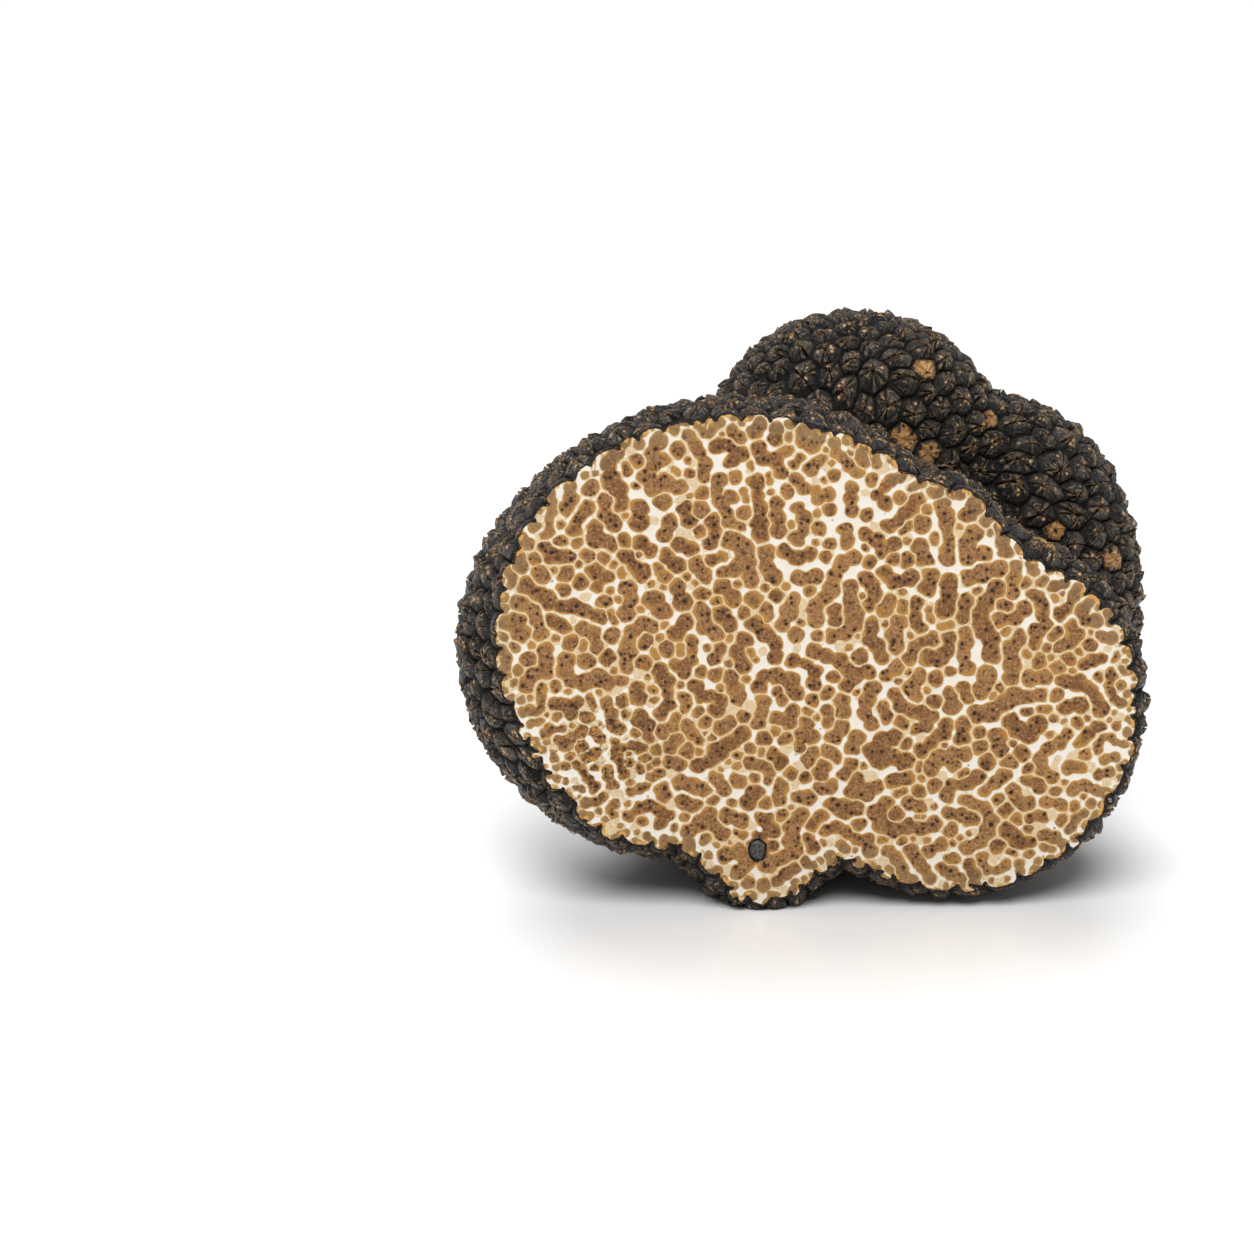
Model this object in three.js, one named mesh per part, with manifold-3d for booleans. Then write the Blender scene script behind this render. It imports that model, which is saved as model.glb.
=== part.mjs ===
// Half of a black autumn truffle, standing on its underside with the cut face towards -Y.
// Lengths are millimetres. The lobes are placed in a working frame whose origin lies on the cut
// face and whose Y axis points into the body; the finished half is moved to its resting frame last.

import * as THREE from 'three';
import { ConvexHull } from 'three/addons/math/ConvexHull.js';
import { mergeVertices } from 'three/addons/utils/BufferGeometryUtils.js';
import Module from 'manifold-3d';

// Rounded lobes that melt together into the body: centre and radii of each ellipsoid.
const LOBES = [
  { name: 'left half of the cut', centre: [-8, 3, 4.5], radii: [24.5, 18.5, 21.5] },
  { name: 'right half of the cut', centre: [15, 3.5, -7.2], radii: [19.3, 10, 19.9] },
  { name: 'right edge of the cut', centre: [24, 4, -1.5], radii: [7.5, 8, 8] },
  { name: 'upper right shoulder', centre: [13.5, 2.4, 3], radii: [7, 9, 15] },
  { name: 'foot below the pit', centre: [-5, 6, -14], radii: [9.5, 10.5, 16] },
  { name: 'lower left edge of the cut', centre: [-17, 5, -12], radii: [9, 9, 9] },
  { name: 'left flank', centre: [-14.3, 10.5, -2], radii: [22.1, 15.5, 22] },
  { name: 'top knob', centre: [5.5, 21.5, 18.5], radii: [14.5, 12, 12] },
  { name: 'right knob', centre: [21.6, 22.5, -1.7], radii: [15, 13.5, 22.5] },
  { name: 'base', centre: [0, 20, -9], radii: [25, 19.5, 20] },
  { name: 'left back', centre: [-12, 25, 4], radii: [15, 13, 15] },
  { name: 'right back', centre: [9, 29, 0], radii: [16, 11, 18] },
];
const LOBE_BLEND = 1.5; // how softly two lobes run into each other
const BODY_CENTRE = new THREE.Vector3(2, 15, -1); // every part of the rind is in view from here
const GROUND = -28; // height of the flat resting spots below the middle of the cut face

// Pyramid-shaped warts of the rind.
const WART_GAP = 2.2; // two wart tips are never closer than this
const WART_HEIGHT = 0.65; // tip above the mean rind
const FURROW_DEPTH = 0.35; // furrow below the mean rind
const RIND_SAMPLES = 24000; // random points of the rind from which the tips are chosen
const EVENING_ROUNDS = 2; // times the tips are shifted to the middle of their own area

// Small pit in the cut face with a rounded nodule sitting in it.
const PIT = { centre: [-5.8, 0, -21.1], radii: [1.1, 0.9, 1.4] };
const NODULE = { centre: [-5.8, 0.8, -21.2], radii: [0.8, 0.6, 1.05] };

const OUTER_REACH = 60; // further from the body centre than any point of the rind
const BISECTIONS = 30;

// A repeatable random number from 0 to 1 for each whole number.
function randomNumber(index) {
  const value = Math.sin(index * 12.9898) * 43758.5453;
  return value - Math.floor(value);
}

// Roughly how far a point lies outside (+) or inside (-) one ellipsoid.
function lobeDistance(point, lobe) {
  let level = 0;
  let slope = 0;
  for (const axis of [0, 1, 2]) {
    const offset = (point[axis] - lobe.centre[axis]) / lobe.radii[axis];
    level += offset * offset;
    slope += (offset / lobe.radii[axis]) ** 2;
  }
  const reach = Math.sqrt(level);
  return reach * (reach - 1) / Math.max(Math.sqrt(slope), 1e-6);
}

// Distance to the blended body of all lobes.
function bodyDistance(point) {
  const distances = LOBES.map((lobe) => lobeDistance(point, lobe));
  const nearest = Math.min(...distances);
  const weights = distances.map((distance) => Math.exp((nearest - distance) / LOBE_BLEND));
  return nearest - LOBE_BLEND * Math.log(weights.reduce((sum, weight) => sum + weight, 0));
}

// The point in a direction from the body centre that stands the given height above the rind.
function rindPoint(direction, height = 0) {
  let inside = 0;
  let outside = OUTER_REACH;
  const point = new THREE.Vector3();
  for (let step = 0; step < BISECTIONS; step += 1) {
    const middle = (inside + outside) / 2;
    point.copy(direction).multiplyScalar(middle).add(BODY_CENTRE);
    if (bodyDistance(point.toArray()) < height) {
      inside = middle;
    } else {
      outside = middle;
    }
  }
  return point;
}

function directionTo(point) {
  return point.clone().sub(BODY_CENTRE).normalize();
}

// Random directions spread evenly over the sphere, carried out to the rind.
function sampleRind() {
  const samples = [];
  for (let index = 0; index < RIND_SAMPLES; index += 1) {
    const height = 1 - 2 * randomNumber(2 * index);
    const turn = 2 * Math.PI * randomNumber(2 * index + 1);
    const across = Math.sqrt(1 - height * height);
    const direction = new THREE.Vector3(across * Math.cos(turn), across * Math.sin(turn), height);
    samples.push(rindPoint(direction));
  }
  return samples;
}

function nearestIndex(point, tips) {
  let nearest = 0;
  let best = Infinity;
  tips.forEach((tip, index) => {
    const distance = point.distanceToSquared(tip);
    if (distance < best) {
      best = distance;
      nearest = index;
    }
  });
  return nearest;
}

// Shifts every tip to the middle of the rind that lies nearer to it than to any other tip.
function evenOut(tips, samples) {
  const sums = tips.map(() => new THREE.Vector3());
  const areas = tips.map(() => 0);
  for (const sample of samples) {
    const owner = nearestIndex(sample, tips);
    const area = sample.distanceToSquared(BODY_CENTRE);
    sums[owner].addScaledVector(sample, area);
    areas[owner] += area;
  }
  return sums.map((sum, index) => sum.divideScalar(areas[index]));
}

// Wart tips: far enough apart to start with, then evened out.
function placeWarts() {
  const samples = sampleRind();
  let tips = [];
  for (const sample of samples) {
    if (tips.every((tip) => tip.distanceToSquared(sample) > WART_GAP * WART_GAP)) {
      tips.push(sample);
    }
  }
  for (let round = 0; round < EVENING_ROUNDS; round += 1) {
    tips = evenOut(tips, samples).map((middle) => rindPoint(directionTo(middle)));
  }
  return tips.map(directionTo);
}

// Triangles between neighbouring warts, as three directions each, turned outwards.
function neighbourTriangles(directions) {
  return new ConvexHull().setFromPoints(directions).faces.map((face) => {
    const edges = [face.edge, face.edge.next, face.edge.next.next];
    return edges.map((edge) => edge.head().point);
  });
}

// The closed rind: one low pyramid per wart, its foot running along the furrows around it.
function rindGeometry() {
  const furrows = new Map(); // wart direction -> next wart around it -> furrow corner between
  for (const corners of neighbourTriangles(placeWarts())) {
    const middle = new THREE.Vector3();
    corners.forEach((corner) => middle.add(corner));
    const furrow = rindPoint(middle.normalize(), -FURROW_DEPTH);
    corners.forEach((corner, index) => {
      const next = corners[(index + 1) % 3];
      const last = corners[(index + 2) % 3];
      if (!furrows.has(corner)) furrows.set(corner, new Map());
      furrows.get(corner).set(next, { furrow, last });
    });
  }
  const positions = [];
  for (const [direction, around] of furrows) {
    const tip = rindPoint(direction, WART_HEIGHT);
    for (const { furrow, last } of around.values()) {
      for (const point of [tip, furrow, around.get(last).furrow]) positions.push(...point);
    }
  }
  const geometry = new THREE.BufferGeometry();
  geometry.setAttribute('position', new THREE.Float32BufferAttribute(positions, 3));
  return geometry;
}

function ellipsoidGeometry({ centre, radii }) {
  const geometry = new THREE.SphereGeometry(1, 24, 14);
  geometry.scale(...radii);
  return geometry.translate(...centre);
}

function boxGeometry(min, max) {
  const size = max.map((value, axis) => value - min[axis]);
  const middle = max.map((value, axis) => (value + min[axis]) / 2);
  return new THREE.BoxGeometry(...size).translate(...middle);
}

const wasm = await Module();
wasm.setup();

function toSolid(geometry) {
  geometry.deleteAttribute('normal');
  geometry.deleteAttribute('uv');
  const merged = mergeVertices(geometry, 1e-4);
  return new wasm.Manifold(new wasm.Mesh({
    numProp: 3,
    vertProperties: new Float32Array(merged.attributes.position.array),
    triVerts: new Uint32Array(merged.index.array),
  }));
}

function toGeometry(solid) {
  const mesh = solid.getMesh();
  const geometry = new THREE.BufferGeometry();
  geometry.setAttribute('position', new THREE.BufferAttribute(mesh.vertProperties, 3));
  geometry.setIndex(new THREE.BufferAttribute(mesh.triVerts, 1));
  return geometry.toNonIndexed();
}

// The whole truffle, sliced down its front and flattened where it rests.
function cutTruffle() {
  const far = 2 * OUTER_REACH;
  const front = toSolid(boxGeometry([-far, -far, -far], [far, 0, far]));
  const ground = toSolid(boxGeometry([-far, -far, -far], [far, far, GROUND]));
  return toSolid(rindGeometry())
    .subtract(front)
    .subtract(ground)
    .subtract(toSolid(ellipsoidGeometry(PIT)))
    .add(toSolid(ellipsoidGeometry(NODULE)));
}

// Moves the part so that the middle of its footprint box is the origin.
function restAtOrigin(geometry) {
  geometry.computeBoundingBox();
  const { min, max } = geometry.boundingBox;
  return geometry.translate(-(min.x + max.x) / 2, -(min.y + max.y) / 2, -min.z);
}

const geometry = restAtOrigin(toGeometry(cutTruffle()));
geometry.computeVertexNormals();
const rind = new THREE.MeshStandardMaterial({ name: 'rind', color: 0x2b2522, roughness: 0.85 });
const truffle = new THREE.Mesh(geometry, rind);
truffle.name = 'truffle';

const group = new THREE.Group();
group.name = 'autumn_truffle';
group.add(truffle);

export default group;
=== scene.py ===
import math

import bmesh
import bpy
import numpy as np
from mathutils import Matrix, Vector
from mathutils.geometry import delaunay_2d_cdt
from mathutils.kdtree import KDTree


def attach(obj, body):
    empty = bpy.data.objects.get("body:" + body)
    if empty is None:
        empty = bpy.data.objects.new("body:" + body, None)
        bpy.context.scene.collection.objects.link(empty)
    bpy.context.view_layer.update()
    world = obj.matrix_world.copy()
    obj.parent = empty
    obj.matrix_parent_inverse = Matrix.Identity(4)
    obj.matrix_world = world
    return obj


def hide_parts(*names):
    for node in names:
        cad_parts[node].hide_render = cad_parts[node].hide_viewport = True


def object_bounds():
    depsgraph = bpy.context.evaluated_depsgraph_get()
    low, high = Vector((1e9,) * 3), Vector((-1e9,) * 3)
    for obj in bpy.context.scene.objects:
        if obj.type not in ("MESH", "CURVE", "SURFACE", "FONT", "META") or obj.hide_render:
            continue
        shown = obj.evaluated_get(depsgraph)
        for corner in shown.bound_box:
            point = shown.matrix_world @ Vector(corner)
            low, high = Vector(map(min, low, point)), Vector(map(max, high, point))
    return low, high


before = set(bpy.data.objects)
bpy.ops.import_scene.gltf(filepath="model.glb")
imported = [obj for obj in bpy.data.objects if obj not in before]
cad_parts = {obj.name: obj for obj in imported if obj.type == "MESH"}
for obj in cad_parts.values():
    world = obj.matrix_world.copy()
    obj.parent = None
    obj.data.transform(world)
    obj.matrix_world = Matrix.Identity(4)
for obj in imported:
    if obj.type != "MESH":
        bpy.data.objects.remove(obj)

CAD_LOW, CAD_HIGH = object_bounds()

# ---- Driving dimensions ----
# Lengths are in millimetres. The working frame is the CAD part's own: its origin lies on the cut
# face, +Y runs into the body and +Z up.

MM = 0.001

# The rounded lobes of the body, each an ellipsoid with a centre and radii.
LOBES = {
    "left half of the cut": ((-8, 3, 4.5), (24.5, 18.5, 21.5)),
    "right half of the cut": ((15, 3.5, -7.2), (19.3, 10, 19.9)),
    "right edge of the cut": ((24, 4, -1.5), (7.5, 8, 8)),
    "upper right shoulder": ((13.5, 2.4, 3), (7, 9, 15)),
    "foot below the pit": ((-5, 6, -14), (9.5, 10.5, 16)),
    "lower left edge of the cut": ((-17, 5, -12), (9, 9, 9)),
    "left flank": ((-14.3, 10.5, -2), (22.1, 15.5, 22)),
    "top knob": ((5.5, 21.5, 18.5), (14.5, 12, 12)),
    "right knob": ((21.6, 22.5, -1.7), (15, 13.5, 22.5)),
    "base": ((0, 20, -9), (25, 19.5, 20)),
    "left back": ((-12, 25, 4), (15, 13, 15)),
    "right back": ((9, 29, 0), (16, 11, 18)),
}
LOBE_BLEND = 1.5  # how softly the lobes run into one another
BODY_CENTRE = np.array([2.0, 15.0, -1.0])
GROUND = -28.0  # the body is flattened on this level
OUTER_REACH = 60.0  # further from the centre than any place on the rind
NOWHERE = 1e6  # the coordinates of a point that isn't placed yet
BISECTIONS = 28

# Where the warts stand: the same rule as in the CAD part, so they stand in the same places.
WART_GAP = 2.2
RIND_SAMPLES = 24000
EVENING_ROUNDS = 2
CAD_WART_HEIGHT = 0.65

# One wart: a low dome of wedges that are parted by narrow grooves, with a hole in its tip.
FURROW_HEIGHT = -0.5
CORNER_HEIGHT = -0.6  # where three furrows meet
FURROW_STEP = 0.62  # spacing of the points along the furrow around a wart
FURROW_JITTER = 0.4  # how uneven that spacing is
WEDGE_POINTS = 2.8  # points along the furrow for each wedge, on average
FEWEST_WEDGES = 3
GROOVE_JITTER = 0.6  # how unevenly the grooves are spread
WART_RINGS = (  # share of the way from tip to furrow, height, depth of the grooves, their narrowing
    (0.90, 0.04, 0.14, 0.75),
    (0.60, 0.42, 0.42, 0.70),
    (0.20, 0.58, 0.46, 0.50),
)
HOLE_HEIGHT = 0.05
UNEVENNESS = 0.55  # how much the heights of the wedges differ
WART_SPREAD = 0.4  # how much the heights of whole warts differ
GROOVE_SPREAD = 1.0  # and the depths of their grooves
WORN_LOSS = 0.5  # how much lower a worn wart is, as a share
CALM_RIM = 1.5  # the warts are lower within this distance of the cut, so that its rim is scalloped
CALM_WARTS = 0.75  # their height at the cut, as a share
CALM_WEDGES = 0.3  # and the differences between their wedges

# Worn spots on the rind where the pale flesh shows through.
WORN_SPOTS = (
    (12.5, 14.5, 26.5), (10, 9.5, 20.5), (14, 11, 19), (18.5, 16.5, 21.5), (20, 8, 13),
    (25.5, 11.5, 11.5), (22.5, 4, 11), (26.5, 9, 9.5), (32.5, 13.5, 4.5),
)

# The pattern of the flesh: rounded bulges, linked into lobules, with pale veins in between.
# Places on the cut face are given as X and Z.
PATTERN_LOW = np.array([-36.0, -30.0])
PATTERN_HIGH = np.array([36.0, 28.0])
PATTERN_STEP = 0.1
BULGE_SIZES = (  # radius, longest lobule of such bulges, places tried
    (0.84, 8, 9000),
    (0.66, 4, 9000),
    (0.44, 2, 12000),
)
BULGE_SPREAD = 0.3  # how much the bulges of one lobule differ in size
REGION_SPREAD = 0.32  # and how much those in different parts of the face do
BULGE_STEP = 1.6  # from bulge to bulge within a lobule, in radii
PRESSED = 0.95  # how close two lobules come, as a share of their radii
PRESSED_WITHIN = 0.97  # the same for two bulges of one lobule
LONG_BIAS = 0.7  # below 1, most lobules are nearly as long as they may be
BRANCHING = 0.45  # how often a lobule goes on from an earlier bulge than its newest
WANDERING = 1.7  # how far a lobule turns from bulge to bulge, radians
WIDER_TURNS = 0.2  # how much further it turns at each further attempt, as a share
TURNS_TRIED = 6
WAIST = 0.48  # how much narrower a link is than the bulges
SWELLING = 0.17  # how far the outlines lie outside the bulges where there is room
WAVINESS = 0.42  # how far the outlines are shifted about, and over what distance that changes
WAVE_SIZE = 1.2
LINK_REACH = 2.4  # further from a link than the outline of any lobule
FAR = 9.0  # a distance that stands for no link nearby
CLEFT_ORDER = 1.5  # links of one lobule that lie further apart along it are parted by a vein
ROUNDING = 0.05  # how strongly the corners of the lobules are rounded
NEAREST = 8  # bulges and links that compete for a place on the face
BUNDLE_GAP = 5.5  # least distance between the middles of two bundles of lobules
BUNDLE_TRIES = 5000
BUNDLE_SEED = 900000
BROAD_VEIN = 0.23  # between two bundles
BROAD_SPREAD = 1.0  # how much such veins differ in width
NARROW_VEIN = 0.12  # between two lobules of one bundle
VEIN_BLEND = 0.15  # over what distance one turns into the other
OPENNESS = 0.31  # how much the size of the white patches varies
STREAK_SPREAD = 9.0  # the white patches line up in streaks that fan out: streaks per radian
STREAK_LENGTH = 6.0  # over what distance such a streak changes
FINE_SPOT = np.array([-22.0, -10.0])  # the bulges are smaller around here
FINE_RADIUS = 9.0
FINE_LOSS = 0.25  # by this share
RIM_REACH = 2.6  # and within this distance of the rim
RIM_LOSS = 0.35  # by this share
RIM_OPENNESS = 0.12  # how far the outlines of the lobules draw back at the rim
FAN_CENTRE = np.array([-4.0, -24.0])  # the lobules rise from here like a fan
FAN_BEND = 1.5  # how far they stray from it, radians

# The mesh of the cut face.
OUTLINE_STEP = 0.28  # spacing of the points along the outline of a lobule
FACE_STEP = 0.6  # spacing of the points inside a lobule
VEIN_STEP = 0.22  # spacing of the points inside a broad vein
GRID_JITTER = 0.3  # how unevenly those points stand
ROW_STEP = 0.87  # from row to row of their triangular grid, in steps along a row
OUTLINE_MARGIN = 0.16  # points inside a lobule stay this clear of its outline
VEIN_MARGIN = 0.065  # and those inside a vein this clear
RIM_MARGIN = 0.2  # and all of them of the skin, the pit and the bead
RIM_BAND = (-1.0, 2.0)  # where the distance to the rim is exact, from outside to inside
SKIN_WIDTH = 0.2  # the dark skin between the flesh and the rim
DENT_DEPTH = 0.1  # how far behind the face small holes in the cut rind are closed
VEIN_SINK = 0.05  # how far the middle of a broad vein lies below the lobules
BROAD_HALF = 0.25  # how far from its edge a vein lies that low
RIND_SLOT, FLESH_SLOT, NODULE_SLOT, BEAD_SLOT = range(4)  # the materials
PIT_RINGS = (  # share of the radius, depth below the face: a groove around a domed nodule
    (1.0, 0.0), (0.94, 0.4), (0.87, 0.45), (0.8, 0.12), (0.6, -0.02), (0.35, -0.1),
)
BEAD_RINGS = ((1.0, 0.0), (0.85, -0.12), (0.5, -0.22))
OVALS = (  # the pit and the bead above it: centre, radii, rings, points around a ring, material
    (np.array([-5.8, -21.1]), np.array([1.05, 1.35]), PIT_RINGS, 13, NODULE_SLOT),
    (np.array([-5.6, -18.8]), np.array([0.3, 0.3]), BEAD_RINGS, 12, BEAD_SLOT),
)
OVAL_SPREAD = 0.12  # how uneven they are


# ---- The smooth body ----

def unit(vectors):
    return vectors / np.linalg.norm(vectors, axis=-1, keepdims=True)


def random_numbers(indices):
    """A repeatable random number from 0 to 1 for each index; factors keep the uses apart."""
    values = np.sin(np.asarray(indices) * 12.9898) * 43758.5453
    return values - np.floor(values)


def factor(spread, chance):
    """A factor around 1 that varies by this spread; the chance goes from 0 to 1."""
    return 1 - spread / 2 + spread * chance


def search_tree(places):
    """A tree that finds the nearest of these places quickly."""
    tree = KDTree(len(places))
    for index, place in enumerate(places):
        tree.insert(place, index)
    tree.balance()
    return tree


def body_distance(points):
    """Distance of each point to the blended body of all lobes, negative inside."""
    distances = []
    for centre, radii in LOBES.values():
        offset = (points - centre) / radii
        reach = np.linalg.norm(offset, axis=-1)
        slope = np.linalg.norm(offset / radii, axis=-1)
        distances.append(reach * (reach - 1) / np.maximum(slope, 1e-6))
    distances = np.array(distances)
    nearest = distances.min(axis=0)
    weights = np.exp((nearest - distances) / LOBE_BLEND).sum(axis=0)
    return nearest - LOBE_BLEND * np.log(weights)


def rind_points(directions, heights=0.0):
    """The points in these directions from the body centre that stand so high above the rind."""
    inside = np.zeros(len(directions))
    outside = np.full(len(directions), OUTER_REACH)
    for _ in range(BISECTIONS):
        middle = (inside + outside) / 2
        within = body_distance(BODY_CENTRE + directions * middle[:, None]) < heights
        inside = np.where(within, middle, inside)
        outside = np.where(within, outside, middle)
    return BODY_CENTRE + directions * outside[:, None]


def onto_rind(places):
    """The points of the smooth body in the same directions from its centre."""
    return rind_points(unit(places - BODY_CENTRE))


def outward(places):
    """The direction in which the smooth body faces at each place."""
    slopes = [body_distance(places + step) - body_distance(places - step) for step in np.eye(3)]
    return unit(np.stack(slopes, axis=1))


# ---- Where the warts stand ----

def sample_rind():
    """Random points all over the rind."""
    index = np.arange(RIND_SAMPLES)
    height = 1 - 2 * random_numbers(2 * index)
    turn = 2 * np.pi * random_numbers(2 * index + 1)
    across = np.sqrt(1 - height ** 2)
    return rind_points(np.stack([across * np.cos(turn), across * np.sin(turn), height], axis=1))


def spread_tips(samples):
    """Picks samples that are nowhere closer together than the wart gap."""
    tips = np.full_like(samples, NOWHERE)
    count = 0
    for sample in samples:
        if ((tips[:count + 1] - sample) ** 2).sum(axis=1).min() > WART_GAP ** 2:
            tips[count] = sample
            count += 1
    return tips[:count]


def even_out(tips, samples):
    """Moves every tip to the middle of the samples that are nearer to it than to any other."""
    tree = search_tree(tips)
    owners = np.array([tree.find(sample)[1] for sample in samples])
    areas = ((samples - BODY_CENTRE) ** 2).sum(axis=1)
    sums = [np.bincount(owners, areas * samples[:, axis], len(tips)) for axis in range(3)]
    middles = np.stack(sums, axis=1) / np.bincount(owners, areas, len(tips))[:, None]
    return rind_points(unit(middles - BODY_CENTRE))


def wart_places():
    """The middle of every wart, on the smooth body."""
    samples = sample_rind()
    tips = spread_tips(samples)
    for _ in range(EVENING_ROUNDS):
        tips = even_out(tips, samples)
    return tips


def neighbour_triangles(places):
    """Triangles that join neighbouring warts, turned outwards."""
    hull = bmesh.new()
    corners = [hull.verts.new(direction) for direction in unit(places - BODY_CENTRE)]
    hull.verts.index_update()
    bmesh.ops.convex_hull(hull, input=corners)
    for corner, place in zip(hull.verts, places):
        corner.co = place
    bmesh.ops.beautify_fill(hull, faces=hull.faces, edges=hull.edges, method="AREA")
    triangles = np.array([[corner.index for corner in face.verts] for face in hull.faces])
    hull.free()
    return triangles


# ---- The warty rind ----

class Rind:
    """Collects the points and faces of the rind."""

    def __init__(self):
        self.rows = []  # for each point its place on the body and its traits, see add
        self.count = 0
        self.faces = []
        self.warts = []  # the wart that each face belongs to, and its wedge of that wart
        self.wedges = []

    def add(self, places, *traits):
        """Adds points and returns their numbers.

        The traits are the height above the body, the reach (0 at the tip of a wart and 1 in the
        furrow around it) and the groove (1 between the wedges of a wart and 0 on them).
        """
        traits = [np.broadcast_to(trait, len(places)) for trait in traits]
        self.rows.append(np.column_stack([places, *traits]))
        self.count += len(places)
        return np.arange(self.count - len(places), self.count)

    def add_faces(self, faces, wart, wedges):
        self.faces += faces.tolist()
        self.warts += [wart] * len(faces)
        self.wedges += wedges.tolist()


def raised(places, heights):
    """Places on the body raised to their heights; those below the ground are flattened onto it."""
    points = onto_rind(places)
    calm = np.clip(points[:, 1] / CALM_RIM, CALM_WARTS, 1)
    points += outward(points) * (calm * heights)[:, None]
    low = points[:, 2] < GROUND
    onto_ground = (GROUND - BODY_CENTRE[2]) / (points[low, 2] - BODY_CENTRE[2])
    points[low] = BODY_CENTRE + (points[low] - BODY_CENTRE) * onto_ground[:, None]
    return points


def neighbours_in_turn(count, triangles):
    """For each wart: its neighbours, and the triangle that follows and neighbour after each."""
    after = [{} for _ in range(count)]
    for number, triangle in enumerate(triangles):
        for wart, neighbour, following in zip(triangle, np.roll(triangle, -1), np.roll(triangle, -2)):
            after[wart][neighbour] = number, following
    return after


def add_furrows(rind, places, triangles):
    """Adds the points of all furrows and returns, for each wart, those around it in turn."""
    corners = onto_rind(places[triangles].mean(axis=1))
    corner_ids = rind.add(corners, CORNER_HEIGHT, 1, 0.5)
    after = neighbours_in_turn(len(places), triangles)
    furrows = {}  # (wart, neighbour) -> points of the furrow between them, without its last corner
    for wart, around in enumerate(after):
        for neighbour, (last, _) in around.items():
            if neighbour < wart:
                continue
            first = after[neighbour][wart][0]
            along = corners[last] - corners[first]
            steps = max(1, round(np.linalg.norm(along) / FURROW_STEP))
            index = np.arange(1, steps)
            chance = random_numbers(wart * 31 + neighbour * 17 + index)
            share = (index + FURROW_JITTER * (chance - 0.5)) / steps
            ids = rind.add(corners[first] + np.outer(share, along), FURROW_HEIGHT, 1, 0.5)
            furrows[wart, neighbour] = [corner_ids[first], *ids]
            furrows[neighbour, wart] = [corner_ids[last], *ids[::-1]]
    return [furrow_around(wart, neighbours, furrows) for wart, neighbours in enumerate(after)]


def furrow_around(wart, neighbours, furrows):
    """The points of the whole furrow around one wart, in turn."""
    neighbour = first = next(iter(neighbours))
    outline = []
    while True:
        outline += furrows[wart, neighbour]
        neighbour = neighbours[neighbour][1]
        if neighbour == first:
            return np.array(outline)


def wedges_of(number, count):
    """Which of the points around a wart lie in a groove, and the wedge that each belongs to."""
    wedges = max(FEWEST_WEDGES, round(count / WEDGE_POINTS))
    index = np.arange(wedges)
    starts = index + GROOVE_JITTER * random_numbers(number * 41 + index)
    grooves = (starts * count / wedges).astype(int)
    in_groove = np.zeros(count, bool)
    in_groove[grooves] = True
    return in_groove, in_groove.cumsum() % in_groove.sum()


def add_wart(rind, number, tip, outline, around, worn):
    """Adds one wart: rings of points from its furrow up to the hole in its tip."""
    in_groove, wedge = wedges_of(number, len(outline))
    before, after = np.roll(in_groove, 1), np.roll(in_groove, -1)
    beside_groove = (before ^ after) * ~in_groove
    nearest_groove = np.where(before[:, None], np.roll(around, 1, axis=0), np.roll(around, -1, axis=0))
    to_groove = (nearest_groove - around) * beside_groove[:, None]
    size = factor(WART_SPREAD, random_numbers(number * 7 + 5)) * (1 - WORN_LOSS * worn)
    lift = UNEVENNESS * (random_numbers(number * 101 + wedge) - 0.5)
    outer = outline
    for share, height, groove, narrowing in WART_RINGS:
        places = tip + (around + to_groove * narrowing - tip) * share
        groove = groove * factor(GROOVE_SPREAD, random_numbers(number * 13 + wedge))
        relief = np.where(in_groove, -groove, lift * (1 - share))
        heights = size * (height + relief * np.clip(places[:, 1] / CALM_RIM, CALM_WEDGES, 1))
        ring = rind.add(places, heights, share, in_groove)
        quads = np.stack([outer, np.roll(outer, -1), np.roll(ring, -1), ring], axis=1)
        rind.add_faces(quads, number, wedge)
        outer = ring
    hole = rind.add(tip[None], size * HOLE_HEIGHT, 0, 1)
    hole_faces = np.stack([outer, np.roll(outer, -1), np.broadcast_to(hole, len(outer))], axis=1)
    rind.add_faces(hole_faces, number, wedge)


def make_rind(tips):
    """The whole closed rind of the uncut truffle, as a mesh."""
    worn = worn_warts(tips)
    rind = Rind()
    outlines = add_furrows(rind, tips, neighbour_triangles(tips))
    furrow_places = np.concatenate(rind.rows)[:, :3]
    for number, (tip, outline) in enumerate(zip(tips, outlines)):
        add_wart(rind, number, tip, outline, furrow_places[outline], worn[number])
    rows = np.concatenate(rind.rows)
    heights, reach, groove = rows[:, 3:].T
    mesh = bpy.data.meshes.new("rind")
    mesh.from_pydata(raised(rows[:, :3], heights).tolist(), [], rind.faces)
    warts = np.array(rind.warts)
    add_trait(mesh, "reach", "POINT", reach)
    add_trait(mesh, "groove", "POINT", groove)
    # Each wedge of a wart gets its own random tone, partly painted light and shade that makes its facets
    # differ as if lit and shaded.
    add_trait(mesh, "tone", "FACE", random_numbers(7 * warts + 3 + 31 * np.array(rind.wedges)))
    add_trait(mesh, "worn", "FACE", worn[warts])
    for axis, values in zip("xyz", tips[warts].T):
        add_trait(mesh, "tip_" + axis, "FACE", values)
    return mesh


def add_trait(mesh, name, domain, values):
    """Stores a number for each point or face, for the materials to read."""
    mesh.attributes.new(name, "FLOAT", domain).data.foreach_set("value", values.astype(np.float32))


def worn_warts(tips):
    """1 for the warts nearest to the worn spots, 0 for the others."""
    worn = np.zeros(len(tips))
    for spot in WORN_SPOTS:
        worn[((tips - spot) ** 2).sum(axis=1).argmin()] = 1
    return worn


# ---- The lobules of the flesh ----
# Rounded bulges linked into short winding chains, with pale veins in between. The pattern is
# worked out on a fine raster over the cut face.

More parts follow.
